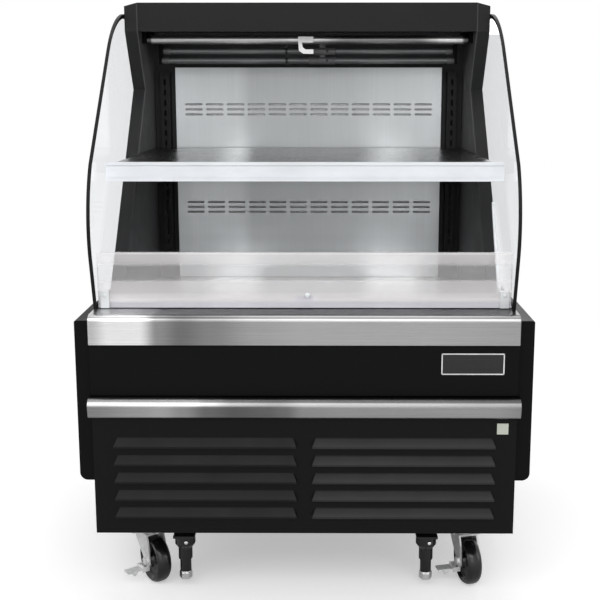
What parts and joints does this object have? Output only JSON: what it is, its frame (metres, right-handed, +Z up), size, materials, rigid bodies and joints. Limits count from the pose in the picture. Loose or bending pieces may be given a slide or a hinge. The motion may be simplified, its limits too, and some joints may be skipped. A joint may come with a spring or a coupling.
{
  "type": "refrigerated deli case",
  "caption": "Open-fronted self-serve refrigerated deli case with shelf, glass ends, guard glass, louvred base, castors and levelling feet.",
  "frame": {"origin": "on the floor, under the middle of the case", "axes": "+Z up, the open front faces -Y, +X to the right when looking at the front"},
  "size_m": [0.924, 0.735, 1.27],
  "materials": {
    "black_powder_coat": "semi-gloss black powder coat",
    "stainless": "brushed stainless steel",
    "zinc": "zinc-plated steel",
    "galvanised": "galvanised sheet",
    "foam_panel": "black steel-faced foam panel",
    "black_plastic": "matte black plastic",
    "white_plastic": "white plastic",
    "wheel_black": "hard black wheel",
    "clear_glass": "clear safety glass",
    "lamp_white": "frosted lamp tube",
    "aluminium_fins": "bare aluminium",
    "copper": "copper tube",
    "curtain_cloth": "rolled curtain cloth",
    "compressor_black": "gloss black enamel"
  },
  "bodies": {
    "case": {"base_frame": "black_powder_coat", "castor_plates": "zinc", "leg_sockets": "black_powder_coat", "end_panel_left": "black_powder_coat", "end_panel_right": "black_powder_coat", "body_sides": "black_powder_coat", "upper_front_panel": "black_powder_coat", "bumper_rail": "stainless", "front_cap": "stainless", "rear_cover": "black_powder_coat", "insulated_body": "foam_panel", "tank_liner": "black_powder_coat", "side_wall_left": "foam_panel", "side_wall_right": "foam_panel", "back_panel": "stainless", "roof": "foam_panel", "header": "black_powder_coat", "air_outlet": "black_plastic", "ceiling_plate": "black_powder_coat", "lamps": "lamp_white", "side_glass_left": "clear_glass", "side_glass_right": "clear_glass", "glass_trims": "black_plastic", "guard_glass": "clear_glass", "guard_channel": "black_plastic", "shelf_standards": "black_powder_coat", "evaporator_coil": "aluminium_fins", "fan_motors": "black_plastic", "compressor": "compressor_black", "condenser_coil": "aluminium_fins", "condenser_shroud": "black_powder_coat", "refrigerant_lines": "copper", "condensate_pan": "zinc", "control_box": "black_powder_coat", "drain_pipe": "black_plastic", "cable_gland": "black_plastic", "fasteners": "zinc"},
    "castor_front_left": {"castor_fork_front_left": "zinc"},
    "wheel_front_left": {"castor_wheel_front_left": "wheel_black"},
    "brake_left": {"brake_pedal_left": "zinc"},
    "castor_front_right": {"castor_fork_front_right": "zinc"},
    "wheel_front_right": {"castor_wheel_front_right": "wheel_black"},
    "brake_right": {"brake_pedal_right": "zinc"},
    "castor_rear_left": {"castor_fork_rear_left": "zinc"},
    "wheel_rear_left": {"castor_wheel_rear_left": "wheel_black"},
    "castor_rear_right": {"castor_fork_rear_right": "zinc"},
    "wheel_rear_right": {"castor_wheel_rear_right": "wheel_black"},
    "foot_left": {"levelling_foot_left": "black_plastic"},
    "foot_right": {"levelling_foot_right": "black_plastic"},
    "grille": {"front_grille": "black_powder_coat"},
    "shelf": {"shelf": "stainless", "price_strip": "white_plastic"},
    "deck": {"deck_pan": "stainless"},
    "curtain_bar": {"curtain_bar": "black_powder_coat", "curtain_handle": "white_plastic"},
    "curtain_roll": {"curtain_roll": "curtain_cloth"},
    "evaporator_fan_left": {"evaporator_fan_left": "black_plastic"},
    "evaporator_fan_right": {"evaporator_fan_right": "black_plastic"},
    "condenser_fan": {"condenser_fan": "black_plastic"},
    "light_switch": {"light_switch": "black_plastic"}
  },
  "joints": [
    {"name": "castor_swivel_front_left", "type": "hinge", "parent": "case", "child": "castor_front_left", "pos_m": [-0.35, -0.1955, 0.127], "axis": [0, 0, 1], "continuous": true},
    {"name": "castor_wheel_spin_front_left", "type": "hinge", "parent": "castor_front_left", "child": "wheel_front_left", "pos_m": [-0.33237, -0.21977, 0.0508], "axis": [0.809, 0.5878, 0], "continuous": true},
    {"name": "brake_pedal_hinge_left", "type": "hinge", "parent": "castor_front_left", "child": "brake_left", "pos_m": [-0.35906, -0.23917, 0.038], "axis": [0.5878, -0.809, 0], "range_deg": [0, 18]},
    {"name": "castor_swivel_front_right", "type": "hinge", "parent": "case", "child": "castor_front_right", "pos_m": [0.35, -0.1955, 0.127], "axis": [0, 0, 1], "continuous": true},
    {"name": "castor_wheel_spin_front_right", "type": "hinge", "parent": "castor_front_right", "child": "wheel_front_right", "pos_m": [0.35649, -0.22479, 0.0508], "axis": [0.9763, 0.2164, 0], "continuous": true},
    {"name": "brake_pedal_hinge_right", "type": "hinge", "parent": "castor_front_right", "child": "brake_right", "pos_m": [0.32427, -0.23193, 0.038], "axis": [0.2164, -0.9763, 0], "range_deg": [0, 18]},
    {"name": "castor_swivel_rear_left", "type": "hinge", "parent": "case", "child": "castor_rear_left", "pos_m": [-0.35, 0.2725, 0.127], "axis": [0, 0, 1], "continuous": true},
    {"name": "castor_wheel_spin_rear_left", "type": "hinge", "parent": "castor_rear_left", "child": "wheel_rear_left", "pos_m": [-0.33876, 0.30032, 0.0508], "axis": [-0.9272, 0.3746, 0], "continuous": true},
    {"name": "castor_swivel_rear_right", "type": "hinge", "parent": "case", "child": "castor_rear_right", "pos_m": [0.35, 0.2725, 0.127], "axis": [0, 0, 1], "continuous": true},
    {"name": "castor_wheel_spin_rear_right", "type": "hinge", "parent": "castor_rear_right", "child": "wheel_rear_right", "pos_m": [0.34173, 0.30134, 0.0508], "axis": [-0.9613, -0.2756, 0], "continuous": true},
    {"name": "foot_screw_left", "type": "slide", "parent": "case", "child": "foot_left", "axis": [0, 0, -1], "range_m": [0, 0.04]},
    {"name": "foot_screw_right", "type": "slide", "parent": "case", "child": "foot_right", "axis": [0, 0, -1], "range_m": [0, 0.04]},
    {"name": "grille_pull_off", "type": "slide", "parent": "case", "child": "grille", "axis": [0, -1, 0], "range_m": [0, 0.15]},
    {"name": "shelf_lift_out", "type": "slide", "parent": "case", "child": "shelf", "axis": [0, -0.9397, 0.342], "range_m": [0, 0.66]},
    {"name": "deck_lift", "type": "slide", "parent": "case", "child": "deck", "axis": [0, 0, 1], "range_m": [0, 0.2]},
    {"name": "curtain_pull", "type": "slide", "parent": "case", "child": "curtain_bar", "axis": [0, -0.8387, -0.5447], "range_m": [0, 0.439], "stiffness_N_per_m": 12, "springref_m": -1},
    {"name": "curtain_roll_spin", "type": "hinge", "parent": "case", "child": "curtain_roll", "pos_m": [0, 0.1365, 1.222], "axis": [1, 0, 0], "range_deg": [0, 1800]},
    {"name": "evaporator_fan_spin_left", "type": "hinge", "parent": "case", "child": "evaporator_fan_left", "pos_m": [-0.17, -0.1555, 0.54], "axis": [0, 0, 1], "continuous": true},
    {"name": "evaporator_fan_spin_right", "type": "hinge", "parent": "case", "child": "evaporator_fan_right", "pos_m": [0.17, -0.1555, 0.54], "axis": [0, 0, 1], "continuous": true},
    {"name": "condenser_fan_spin", "type": "hinge", "parent": "case", "child": "condenser_fan", "pos_m": [-0.19, -0.2295, 0.3055], "axis": [0, 1, 0], "continuous": true},
    {"name": "light_switch_rock", "type": "hinge", "parent": "case", "child": "light_switch", "pos_m": [0.23, -0.2975, 0.2885], "axis": [1, 0, 0], "range_deg": [0, 12]}
  ],
  "couplings": [
    {"joint": "curtain_roll_spin", "follows": "curtain_pull", "rad_per_m": 66.667}
  ]
}
